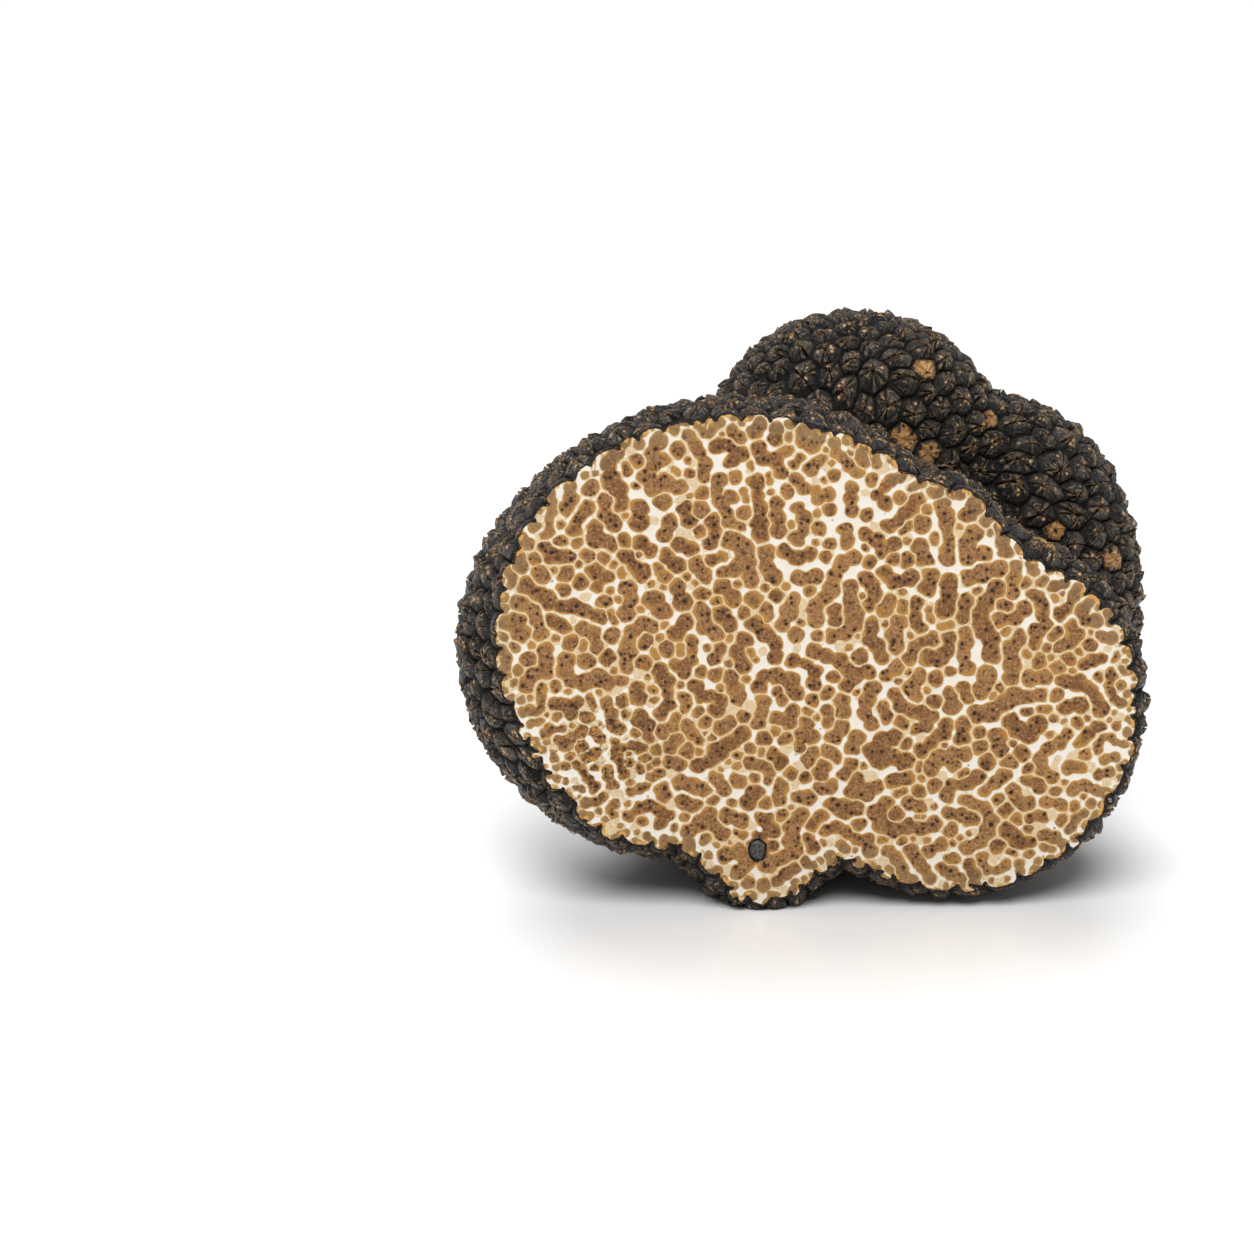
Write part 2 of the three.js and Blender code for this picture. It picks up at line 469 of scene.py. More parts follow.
def soft_noise(places, size, seed):
    """Smooth random values from 0 to 1 that change over about this many millimetres."""
    cell = np.floor(places / size)
    share = places / size - cell
    share = share * share * (3 - 2 * share)
    total = 0
    for right, up in ((0, 0), (1, 0), (0, 1), (1, 1)):
        weight = np.where((right, up), share, 1 - share).prod(axis=-1)
        corner = (cell[..., 0] + right) * 7.31 + (cell[..., 1] + up) * 157.7 + seed * 91.7
        total = total + weight * random_numbers(corner)
    return total


def skin_depth(places):
    """How deep places on the face lie below the surface of the smooth body."""
    x, z = places[..., 0], places[..., 1]
    return -body_distance(np.stack([x, 0 * x, z], axis=-1))


def near_rim(places):
    """1 at the rim and 0 where the rim has no influence on the lobules."""
    return np.clip(1 - skin_depth(places) / RIM_REACH, 0, 1)


def bulge_scale(place):
    """How large the bulges are here: smaller at the lower left and all along the rim."""
    fine = np.exp(-(((place - FINE_SPOT) / FINE_RADIUS) ** 2).sum())
    size = factor(REGION_SPREAD, soft_noise(place, 6, 3))
    return size * (1 - FINE_LOSS * fine) * (1 - RIM_LOSS * near_rim(place))


def random_places(count, seed):
    index = np.arange(count) + seed
    share = np.stack([random_numbers(2 * index), random_numbers(2 * index + 1)], axis=1)
    return PATTERN_LOW + (PATTERN_HIGH - PATTERN_LOW) * share


def bundle_middles():
    """Random places on the face, none closer to another than the gap between bundles."""
    middles = []
    for place in random_places(BUNDLE_TRIES, BUNDLE_SEED):
        if all(np.hypot(*(place - middle)) > BUNDLE_GAP for middle in middles):
            middles.append(place)
    return np.array(middles)


def grain_of_flesh(place):
    """The direction in which the lobules run by preference: a fan that rises from the pit."""
    fan = place - FAN_CENTRE
    return math.atan2(fan[1], fan[0]) + FAN_BEND * (soft_noise(place, 9, 11) - 0.5)


def streaks(places, seed):
    """Smooth random values that are drawn out along the fan."""
    fan = places - FAN_CENTRE
    turn = np.arctan2(fan[..., 1], fan[..., 0]) * STREAK_SPREAD
    return soft_noise(np.stack([turn, np.linalg.norm(fan, axis=-1) / STREAK_LENGTH], axis=-1), 1, seed)


class Lobules:
    """Winding chains of round bulges."""

    def __init__(self):
        room = sum(tries for _, _, tries in BULGE_SIZES)
        self.places = np.full((room, 2), NOWHERE)
        self.radii = np.zeros(room)
        self.owner = np.full(room, -1)
        self.order = np.zeros(room)
        self.count = 0
        self.links = []

    def fits(self, place, radius, owner=-1, linked=-1):
        """Whether a bulge fits here, next to the one that it is to be linked with."""
        own = self.owner[:self.count] == owner
        least = (self.radii[:self.count] + radius) * np.where(own, PRESSED_WITHIN, PRESSED)
        clear = np.hypot(*(self.places[:self.count] - place).T) > least
        if linked >= 0:
            clear[linked] = True
        return clear.all()

    def add(self, place, radius, owner, order):
        number = self.count
        self.places[number] = place
        self.radii[number] = radius
        self.owner[number] = owner
        self.order[number] = order
        self.count += 1
        return number

    def grow(self, place, radius, longest):
        """Starts a lobule and lets it wind on until it is long enough or shut in."""
        owner = newest = self.add(place, radius, self.count, 0)
        heading = grain_of_flesh(place) + math.pi * (random_numbers(owner * 3.3) > 0.5)
        for order in range(1, 1 + int(longest * random_numbers(owner * 1.9) ** LONG_BIAS)):
            if random_numbers(owner * 7.7 + order) < BRANCHING:
                newest = owner + int((self.count - owner) * random_numbers(owner * 9.1 + order))
            size = radius * factor(BULGE_SPREAD, random_numbers(owner * 2.3 + order))
            step = BULGE_STEP * (size + self.radii[newest]) / 2
            for attempt in range(TURNS_TRIED):
                turn = random_numbers(owner * 17.3 + order * 5.1 + attempt) - 0.5
                toward = heading + WANDERING * turn * (1 + WIDER_TURNS * attempt)
                ahead = self.places[newest] + step * np.array([math.cos(toward), math.sin(toward)])
                if self.fits(ahead, size, owner, newest):
                    break
            else:
                return
            self.links.append((newest, self.count))
            newest = self.add(ahead, size, owner, self.order[newest] + 1)
            heading = toward


def grow_lobules():
    """Fills the face with lobules, the large ones first."""
    lobules = Lobules()
    for size, longest, tries in BULGE_SIZES:
        for place in random_places(tries, int(size * 1e5)):
            radius = size * bulge_scale(place)
            if lobules.fits(place, radius):
                lobules.grow(place, radius, longest)
    return lobules


def segment_distance(x, z, start, end, start_radius, end_radius):
    """Distance to the outline of a bulge, or of a link that joins two bulges."""
    along = end - start
    length = along @ along
    share = 0 * x
    if length > 0:
        share = np.clip(((x - start[0]) * along[0] + (z - start[1]) * along[1]) / length, 0, 1)
    away = np.hypot(x - start[0] - share * along[0], z - start[1] - share * along[1])
    return away - start_radius * (1 - share) - end_radius * share


def raster_places():
    """The place of every raster point on the face."""
    columns, rows = np.ceil((PATTERN_HIGH - PATTERN_LOW) / PATTERN_STEP).astype(int) + 1
    x = PATTERN_LOW[0] + PATTERN_STEP * np.arange(columns)
    z = PATTERN_LOW[1] + PATTERN_STEP * np.arange(rows)
    return np.stack(np.meshgrid(x, z), axis=2)


def shifted(places):
    """The same places, shifted about softly so that no vein runs straight."""
    shifts = [soft_noise(places, WAVE_SIZE, seed) - 0.5 for seed in (51, 52)]
    return places + WAVINESS * np.stack(shifts, axis=2)


def nearest_links(lobules, links, places):
    """For each raster point the nearest links, nearest first: their distances and numbers."""
    rows, columns = places.shape[:2]
    distances = np.full((NEAREST, rows, columns), FAR)
    numbers = np.zeros((NEAREST, rows, columns), int)
    radii, thin = lobules.radii, lobules.radii - WAIST
    for number, (one, two) in enumerate(links):
        start, end = lobules.places[one], lobules.places[two]
        low = (np.minimum(start, end) - LINK_REACH - PATTERN_LOW) / PATTERN_STEP
        high = (np.maximum(start, end) + LINK_REACH - PATTERN_LOW) / PATTERN_STEP
        left, bottom = np.maximum(low.astype(int), 0)
        right, top = np.maximum(high.astype(int) + 1, 0)
        window = (slice(None), slice(bottom, top), slice(left, right))
        if distances[window].size == 0:
            continue
        x, z = np.moveaxis(places[bottom:top, left:right], 2, 0)
        ends = radii[[one, one]] if one == two else thin[[one, two]]
        found = segment_distance(x, z, start, end, *ends)[None]
        distance = np.concatenate([distances[window], found])
        which = np.concatenate([numbers[window], np.full_like(found, number, int)])
        ranks = np.argsort(distance, axis=0, kind="stable")[:NEAREST]
        distances[window] = np.take_along_axis(distance, ranks, 0)
        numbers[window] = np.take_along_axis(which, ranks, 0)
    return distances, numbers


def blur(values, width):
    """Smooths a raster with a bell curve of this width."""
    reach = int(3 * width / PATTERN_STEP) + 1
    offsets = np.arange(-reach, reach + 1) * PATTERN_STEP
    weights = np.exp(-0.5 * (offsets / width) ** 2)
    weights /= weights.sum()
    padded = np.pad(values, reach, mode="edge")
    rows = sum(weight * padded[i:i + len(values)] for i, weight in enumerate(weights))
    return sum(weight * rows[:, i:i + values.shape[1]] for i, weight in enumerate(weights))


def flesh_pattern():
    """Two rasters: the depth inside a lobule, negative in the veins, and each lobule's tone."""
    lobules = grow_lobules()
    bulges = [(bulge, bulge) for bulge in range(lobules.count)]
    links = np.array(bulges + lobules.links)
    owners = lobules.owner[links[:, 0]]
    orders = lobules.order[links].mean(axis=1)
    middles = bundle_middles()
    firsts = lobules.places[owners]
    bundles = np.linalg.norm(firsts[:, None] - middles, axis=2).argmin(axis=1)

    places = raster_places()
    distances, numbers = nearest_links(lobules, links, shifted(places))
    own = numbers[0]
    other, other_distance = own, np.full_like(distances[0], FAR)  # the nearest across a vein
    for number, distance in zip(numbers[:0:-1], distances[:0:-1]):
        apart = (owners[number] != owners[own]) | (np.abs(orders[number] - orders[own]) > CLEFT_ORDER)
        apart &= distance < FAR
        other = np.where(apart, number, other)
        other_distance = np.where(apart, distance, other_distance)
    broad = BROAD_VEIN * factor(BROAD_SPREAD, soft_noise(places, 5, 41))
    narrow = NARROW_VEIN * (0.8 + 0.45 * soft_noise(places, 2.5, 21))
    vein = blur(np.where(bundles[own] == bundles[other], narrow, broad), VEIN_BLEND)
    reach = SWELLING + OPENNESS * (0.5 - streaks(places, 31))
    reach -= RIM_OPENNESS * near_rim(places)
    depth = np.minimum((other_distance - distances[0] - vein) / 2, reach - distances[0])
    return blur(depth, ROUNDING), random_numbers(owners[own] * 1.3)


# ---- The outlines of the lobules ----

def crossings(values, axis, first_id):
    """Where the raster's edges along this axis cross zero: the points, and the number on each edge."""
    first = values[:-1] if axis == 0 else values[:, :-1]
    second = values[1:] if axis == 0 else values[:, 1:]
    crosses = (first > 0) != (second > 0)
    share = first[crosses] / (first[crosses] - second[crosses])
    rows, columns = np.nonzero(crosses)
    ids = np.full(crosses.shape, -1)
    ids[crosses] = first_id + np.arange(len(rows))
    return np.stack([columns + share * axis, rows + share * (1 - axis)], axis=1), ids


def zero_line_pieces(values):
    """Points where the raster crosses zero, and for each the one or two next to it."""
    points, upright = crossings(values, 0, 0)
    more_points, level = crossings(values, 1, len(points))
    sides = np.stack([level[:-1], upright[:, 1:], level[1:], upright[:, :-1]], axis=2)
    centre = (values[:-1, :-1] + values[1:, :-1] + values[:-1, 1:] + values[1:, 1:]) > 0
    saddle = (sides >= 0).all(axis=2)
    corner_cut_off = centre != (values[:-1, :-1] > 0)
    neighbours = [[] for _ in range(len(points) + len(more_points))]
    for row, column in zip(*np.nonzero((sides >= 0).any(axis=2))):
        bottom, right, top, left = sides[row, column]
        pairs = [[side for side in (bottom, right, top, left) if side >= 0]]
        if saddle[row, column]:
            pairs = [(bottom, right), (top, left)]
            if corner_cut_off[row, column]:
                pairs = [(bottom, left), (right, top)]
        for one, two in pairs:
            neighbours[one].append(two)
            neighbours[two].append(one)
    return PATTERN_LOW + PATTERN_STEP * np.concatenate([points, more_points]), neighbours


def outlines(values):
    """The closed lines on which the raster is zero, as evenly spaced points."""
    points, neighbours = zero_line_pieces(values)
    done = np.zeros(len(points), bool)
    lines = []
    for start in range(len(points)):
        if done[start] or len(neighbours[start]) < 2:
            continue
        line = [start]
        done[start] = True
        ahead = neighbours[start][0]
        while not done[ahead]:
            done[ahead] = True
            line.append(ahead)
            ahead = next((point for point in neighbours[ahead] if not done[point]), ahead)
        if start in neighbours[line[-1]] and len(line) > 2:
            lines.append(even_line(points[line + [start]]))
    return lines


def even_line(line):
    """The same closed line with points at even distances."""
    lengths = np.linalg.norm(np.diff(line, axis=0), axis=1)
    along = np.concatenate([[0], lengths.cumsum()])
    count = max(4, round(along[-1] / OUTLINE_STEP))
    wanted = along[-1] * np.arange(count) / count
    return np.stack([np.interp(wanted, along, values) for values in line.T], axis=1)


def raster_value(values, places):
    """The raster's value at any place, blended from the four points around it."""
    place = (places - PATTERN_LOW) / PATTERN_STEP
    column, row = np.minimum(place.astype(int), np.array(values.shape)[::-1] - 2).T
    right, up = place[:, 0] - column, place[:, 1] - row
    low = values[row, column] * (1 - right) + values[row, column + 1] * right
    high = values[row + 1, column] * (1 - right) + values[row + 1, column + 1] * right
    return low * (1 - up) + high * up


# ---- The cut ----

def slice_rind(tips):
    """The rind behind the cut, open at the cut face."""
    mesh = make_rind(tips)
    half = bmesh.new()
    half.from_mesh(mesh)
    bpy.data.meshes.remove(mesh)
    bmesh.ops.bisect_plane(
        half, geom=[*half.verts, *half.edges, *half.faces], dist=1e-3,
        plane_co=(0, 0, 0), plane_no=(0, -1, 0), clear_outer=True,
    )
    return half


def rim_loops(half):
    """The closed lines along which the cut runs through the rind, the longest first."""
    left = {edge: None for edge in half.edges if edge.is_boundary}
    loops = []
    while left:
        loop = [left.popitem()[0]]
        for edge in loop:  # the loop grows while it is walked through
            for other in [other for vert in edge.verts for other in vert.link_edges]:
                if other in left:
                    del left[other]
                    loop.append(other)
        loops.append(loop)
    return sorted(loops, key=len, reverse=True)


def close_dents(half, dents):
    """Closes the rind where a furrow only just reaches the cut, a little behind the face."""
    for dent in dents:
        for vert in {vert: None for edge in dent for vert in edge.verts}:
            vert.co.y += DENT_DEPTH
        bmesh.ops.holes_fill(half, edges=dent, sides=0)


def inside_outline(points, starts, ends):
    """Which points lie inside the closed outline made of these edges."""
    inside = np.zeros(len(points), bool)
    for (x, z), (next_x, next_z) in zip(starts, ends):
        if z != next_z:
            spans = (points[:, 1] < z) != (points[:, 1] < next_z)
            crossing = x + (points[:, 1] - z) / (next_z - z) * (next_x - x)
            inside ^= spans & (points[:, 0] < crossing)
    return inside


def ring_points(centre, radii, rings, count):
    """Points of an oval dent or bump: X and Z of each, and its depth below the face."""
    index = np.arange(count)
    turn = 2 * np.pi * index / count
    uneven = factor(OVAL_SPREAD, random_numbers(index))
    circle = np.stack([np.cos(turn), np.sin(turn)], axis=1) * uneven[:, None]
    places = [centre + radii * share * circle for share, _ in rings]
    depths = [
        depth + OVAL_SPREAD * (random_numbers(index + 100 * share) - 0.5) * (share < 1)
        for share, depth in rings
    ]
    return np.concatenate([*places, centre[None]]), np.append(depths, rings[-1][1])


def oval_reach(places, centre, radii):
    """0 at the middle of an oval and 1 on its edge."""
    return np.linalg.norm((places - centre) / radii, axis=-1)


def grid_points(step):
    """Points of a triangular grid over the whole pattern, each shifted a little at random."""
    columns, rows = ((PATTERN_HIGH - PATTERN_LOW) / (step, ROW_STEP * step)).astype(int)
    row, column = np.divmod(np.arange(rows * columns), columns)
    grid = np.stack([column + 0.5 * (row % 2), row * ROW_STEP], axis=1)
    chance = np.stack([random_numbers(row * columns + column), random_numbers(row + 9 * column)], axis=1)
    return PATTERN_LOW + step * (grid + GRID_JITTER * (chance - 0.5))


def distance_to_any(others, places):
    """How far each place on the face is from the nearest of the others."""
    tree = search_tree([(x, z, 0) for x, z in others])
    return np.array([tree.find((x, z, 0))[2] for x, z in places])


def rim_raster(starts, ends):
    """The distance of each raster point from the rim, negative outside; rough far from the rim."""
    places = raster_places()
    distances = skin_depth(places)
    near = (distances > RIM_BAND[0]) & (distances < RIM_BAND[1])
    near_places = places[near]
    nearest = np.full(len(near_places), np.inf)
    for start, end in zip(starts, ends):
        along = end - start
        share = np.clip((near_places - start) @ along / max(along @ along, 1e-9), 0, 1)
        away = near_places - start - share[:, None] * along
        nearest = np.minimum(nearest, np.hypot(away[:, 0], away[:, 1]))
    distances[near] = np.where(inside_outline(near_places, starts, ends), nearest, -nearest)
    return distances


def free_of_ovals(places, margin):
    """Which places stay clear of the pit and the bead."""
    reaches = [oval_reach(places, centre, radii + margin) for centre, radii, *_ in OVALS]
    return np.min(reaches, axis=0) > 1


def line_points(lines, first):
    """The points of closed lines, and the edges between them, numbered from first on."""
    edges = []
    for line in lines:
        index = first + np.arange(len(line))
        edges.append(np.stack([index, np.roll(index, -1)], axis=1))
        first += len(line)
    return np.concatenate(lines), np.concatenate(edges)


def lobule_outline_points(depth, to_rim):
    """The points of all outlines that lie on the face, and the edges between them."""
    places, edges = line_points(outlines(depth), 0)
    kept = free_of_ovals(places, RIM_MARGIN)
    kept &= raster_value(to_rim, places) > SKIN_WIDTH + 0.5 * RIM_MARGIN
    renumbered = kept.cumsum() - 1
    return places[kept], renumbered[edges[kept[edges].all(axis=1)]]


def loose_points(depth, to_rim, line_places):
    """Points inside the lobules and inside the broad veins."""
    inner, vein = grid_points(FACE_STEP), grid_points(VEIN_STEP)
    inner = inner[raster_value(depth, inner) > OUTLINE_MARGIN]
    vein = vein[raster_value(depth, vein) < -VEIN_MARGIN]
    places = np.concatenate([inner, vein])
    margins = np.repeat([OUTLINE_MARGIN, VEIN_MARGIN], [len(inner), len(vein)])
    kept = free_of_ovals(places, RIM_MARGIN) & (raster_value(to_rim, places) > SKIN_WIDTH + RIM_MARGIN)
    places, margins = places[kept], margins[kept]
    return places[distance_to_any(line_places, places) > margins]


def flat_mesh(rim, rim_edges, depth, to_rim):
    """The face as a flat mesh: points and triangles, and what is known of each point.

    That is which place it comes from (those of the rim come first, and -1 is for none), whether
    it lies on the outline of a lobule, and its depth if it belongs to the pit or the bead.
    """
    line_places, line_edges = lobule_outline_points(depth, to_rim)
    lines_end = len(rim) + len(line_places)
    skin_places, skin_edges = line_points(outlines(to_rim - SKIN_WIDTH), lines_end)
    loose_places = loose_points(depth, to_rim, line_places)
    flat_places = np.concatenate([rim, line_places, skin_places, loose_places])
    oval_places, oval_sinks = zip(*[ring_points(*oval[:4]) for oval in OVALS])
    places = np.concatenate([flat_places, *oval_places])
    sinks = np.concatenate([np.zeros(len(flat_places)), *oval_sinks, [0]])
    edges = np.concatenate([rim_edges, line_edges + len(rim), skin_edges]).tolist()
    found = delaunay_2d_cdt([Vector(place) for place in places], edges, [], 1, 1e-6)
    points, _, triangles, sources = found[:4]
    origins = np.array([min(source, default=-1) for source in sources])
    on_outline = (origins < 0) | (origins >= len(rim)) & (origins < lines_end)
    return np.array(points), triangles, origins, on_outline, sinks[origins]


def add_triangles(half, verts, points, triangles, tones):
    """Adds the faces of the cut, each with its lobule's tone and its material."""
    tone_layer = half.faces.layers.float["tone"]
    for triangle in triangles:
        face = half.faces.new([verts[index] for index in triangle])
        place = points[list(triangle)].mean(axis=0)
        column, row = ((place - PATTERN_LOW) / PATTERN_STEP).round().astype(int)
        face[tone_layer] = tones[row, column]
        face.material_index = FLESH_SLOT
        for centre, radii, _, _, slot in OVALS:
            if oval_reach(place, centre, radii) < 1:
                face.material_index = slot


def close_face(half):
    """Fills the cut with a mesh that follows the lobules and carries the pit and the bead."""
    depth_layer = half.verts.layers.float.new("depth")
    rim_layer = half.verts.layers.float.new("rim_distance")
    rim_edges, *dents = rim_loops(half)
    close_dents(half, dents)
    rim_verts = {vert: None for edge in rim_edges for vert in edge.verts}
    for index, vert in enumerate(rim_verts):
        vert.co.y = 0
        rim_verts[vert] = index
    rim = np.array([(vert.co.x, vert.co.z) for vert in rim_verts])
    edges = np.array([[rim_verts[vert] for vert in edge.verts] for edge in rim_edges])
    depth, tones = flesh_pattern()
    to_rim = rim_raster(*rim[edges.T])
    points, triangles, origins, on_outline, sinks = flat_mesh(rim, edges, depth, to_rim)

    depths = raster_value(depth, points)
    vein_sinks = VEIN_SINK * np.clip(-depths / BROAD_HALF, 0, 1)
    sinks = np.where(sinks == 0, vein_sinks, sinks)
    depths[on_outline] = 0
    rim_distances = raster_value(to_rim, points)
    old_verts = list(rim_verts)
    verts = []
    for number, (x, z) in enumerate(points):
        if 0 <= origins[number] < len(old_verts):
            vert = old_verts[origins[number]]
        else:
            vert = half.verts.new((x, sinks[number], z))
            vert[rim_layer] = rim_distances[number]
        vert[depth_layer] = depths[number]
        verts.append(vert)
    add_triangles(half, verts, points, triangles, tones)
    for edge in rim_edges:
        edge.smooth = False


# ---- The finished piece ----

FACE_SPAN = np.array([76.0, 62.0])
WIDEST_ANGLE = math.radians(150)  # from the back of the body round to the rim, with room to spare


def bake_place(point, on_face):
    """Where a point lies on the flat map: the cut face in its lower half, the rind above."""
    if on_face:
        across, up = np.array([point.x, point.z]) / FACE_SPAN + 0.5
        return across, up / 2
    x, y, z = (point - Vector(BODY_CENTRE)).normalized()
    angle = math.atan2(math.hypot(x, z), y) / WIDEST_ANGLE
    turn = math.atan2(z, x)
    return 0.5 + 0.5 * angle * math.cos(turn), 0.75 + 0.25 * angle * math.sin(turn)


def lay_bake_map(half):
    layer = half.loops.layers.uv.new("OFBake")
    for face in half.faces:
        for loop in face.loops:
            loop[layer].uv = bake_place(loop.vert.co, face.material_index != RIND_SLOT)


def frame_shift(tips):
    """From the working frame to the frame of the CAD part, which shows the same wart tips."""
    behind = tips[tips[:, 1] > 0]
    return np.array([CAD_LOW[0] / MM - behind[:, 0].min(), CAD_LOW[1] / MM, -GROUND])


def add_object(name, data):
    """Puts a mesh, a lamp or a camera into the scene."""
    thing = bpy.data.objects.new(name, data)
    bpy.context.scene.collection.objects.link(thing)
    return thing


def make_truffle(tips, materials):
    half = slice_rind(tips)
    close_face(half)
    lay_bake_map(half)
    for face in half.faces:
        face.smooth = face.material_index in (FLESH_SLOT, BEAD_SLOT)
    mesh = bpy.data.meshes.new("truffle")
    half.to_mesh(mesh)
    half.free()
    for material in materials:
        mesh.materials.append(material)
    return add_object("cut_truffle", mesh)


# ---- Materials ----
# Places inside them are in millimetres in the working frame.

class Shader:
    """A material's node tree.

    Most methods add nodes and return an output. What goes in may be a number, a tuple, a colour
    in its six-digit form or another node's output.
    """

    def __init__(self, name, shift, specular=0.5):
        self.material = bpy.data.materials.new(name)
        self.material.use_nodes = True
        self.tree = self.material.node_tree
        self.surface = self.tree.nodes["Principled BSDF"]
        self.surface.inputs["Specular IOR Level"].default_value = specular
        scaled = self.vector("MULTIPLY", self.node("TexCoord").outputs["Object"], (1 / MM,) * 3)
        self.place = self.vector("SUBTRACT", scaled, tuple(shift))

    def node(self, kind, settings=None, **inputs):
        node = self.tree.nodes.new("ShaderNode" + kind)
        for name, value in (settings or {}).items():
            setattr(node, name, value)
        for name, value in inputs.items():
            self.feed(node.inputs[name.replace("_", " ")], value)
        return node

    def feed(self, socket, value):
        if isinstance(value, bpy.types.NodeSocket):
            self.tree.links.new(value, socket)
        else:
            socket.default_value = srgb(value) if isinstance(value, str) else value

    def trait(self, name):
        """A number that the mesh carries on its points or faces."""
        return self.node("Attribute", {"attribute_name": name}).outputs["Fac"]

    def calculate(self, kind, operation, *values):
        node = self.node(kind, {"operation": operation})
        for socket, value in zip(node.inputs, values):
            self.feed(socket, value)
        return node

    def math(self, operation, *values):
        return self.calculate("Math", operation, *values).outputs[0]

    def vector(self, operation, *values):
        outputs = self.calculate("VectorMath", operation, *values).outputs
        return outputs["Value" if operation == "DISTANCE" else "Vector"]

    def both(self, first, second):
        return self.math("MULTIPLY", first, second)

    def line(self, value, slope, start):
        return self.math("MULTIPLY_ADD", value, slope, start)

    def step(self, value, low, high):
        """0 below low, 1 above high and smooth between; low may be the larger one."""
        settings = {"interpolation_type": "SMOOTHSTEP"}
        return self.node("MapRange", settings, Value=value, From_Min=low, From_Max=high).outputs["Result"]

    def mix(self, share, first, second):
        """A colour between two, share 0 to 1."""
        node = self.node("Mix", {"data_type": "RGBA"})
        for number, value in ((0, share), (6, first), (7, second)):
            self.feed(node.inputs[number], value)
        return node.outputs[2]

    def over(self, colour, marks, marks_colour, strength=1):
        """The colour with marks of another colour laid over it."""
        return self.mix(marks if strength == 1 else self.both(marks, strength), colour, marks_colour)

    def noise(self, size, detail=2.0, roughness=0.5, place=None, seed=0.0):
        """Noise from 0 to 1 with features of about this size in millimetres."""
        settings = {"noise_dimensions": "4D"}
        inputs = {"Scale": 1 / size, "Detail": detail, "Roughness": roughness, "W": seed}
        return self.node("TexNoise", settings, Vector=place or self.place, **inputs).outputs["Fac"]

    def spots(self, gap, radius, share, seed=0.0):
        """1 inside small round spots, one in each cell of about this size, some left out."""
        place = self.vector("MULTIPLY_ADD", self.place, (1 / gap,) * 3, (seed, 0, seed))
        cells = self.node("TexVoronoi", {"voronoi_dimensions": "3D"}, Vector=place, Scale=1.0)
        chance = self.node("SeparateColor", Color=cells.outputs["Color"]).outputs
        size = self.both(chance["Red"], radius / gap)
        inside = self.step(cells.outputs["Distance"], size, self.both(size, 0.6))
        return self.both(inside, self.math("LESS_THAN", chance["Green"], share))

    def finish(self, colour, roughness, height, bump):
        """Connects the surface: its colour, its roughness and a relief of so many millimetres."""
        self.feed(self.surface.inputs["Base Color"], colour)
        self.feed(self.surface.inputs["Roughness"], roughness)
        relief = self.node("Bump", Height=height, Distance=bump * MM)
        self.feed(self.surface.inputs["Normal"], relief.outputs["Normal"])
        return self.material


def srgb(text):
    """A linear colour from its usual six-digit form."""
    parts = [int(text[start:start + 2], 16) / 255 for start in (0, 2, 4)]
    return tuple(((part + 0.055) / 1.055) ** 2.4 for part in parts) + (1,)


def vein_colour(s, depth):
    """White in the middle and cream at the edge, with dull patches and a few grey specks."""
    colour = s.mix(s.step(depth, -0.08, -0.01), "E9E2D6", "DCC7A2")
    colour = s.over(colour, s.step(s.noise(1.8, 3.0, seed=8), 0.45, 0.75), "D9CCB4", 0.35)
    specks = s.both(s.spots(0.9, 0.2, 0.35, seed=3), s.step(depth, -0.06, -0.12))
    return s.over(colour, specks, "8F8B84")


def lobule_colour(s, depth, to_rim, fibres):
    """Brown with dark dots and a few orange embers, amber at the edge and greyer near the rim."""
    middle = s.line(s.trait("tone"), 0.5, s.noise(0.9, 2.0, seed=6))
    brown = s.mix(s.step(middle, 0.4, 1.1), "7A4E27", "9F7344")
    brown = s.over(brown, s.step(fibres, 0.52, 0.66), "C6A078", 0.6)
    brown = s.over(brown, s.step(fibres, 0.49, 0.36), "55351A", 0.8)
    brown = s.over(brown, s.step(s.noise(0.5, 3.0, 0.6, seed=16), 0.54, 0.66), "5C3819", 0.5)
    amber_width = s.line(s.noise(1.3, 2.0, seed=14), 1.6, -0.5)
    edge = s.math("DIVIDE", s.trait("depth"), s.math("MAXIMUM", amber_width, 0.05))
    colour = s.mix(s.step(edge, 0.15, 1.0), "B2823F", brown)
    colour = s.over(colour, s.step(to_rim, 2.2, 0.8), "84704F", 0.45)
    inside = s.both(s.step(depth, 0.08, 0.2), s.step(to_rim, 0.8, 1.6))
    colour = s.over(colour, s.both(s.spots(0.5, 0.52, 0.75), inside), "58351A", 0.6)
    colour = s.over(colour, s.both(s.spots(0.5, 0.29, 0.75), inside), "241204", 0.95)
    embers = s.both(s.spots(2.2, 0.5, 0.25, seed=7), s.step(depth, 0.05, 0.15))
    return s.over(colour, embers, "B56F24", 0.6)


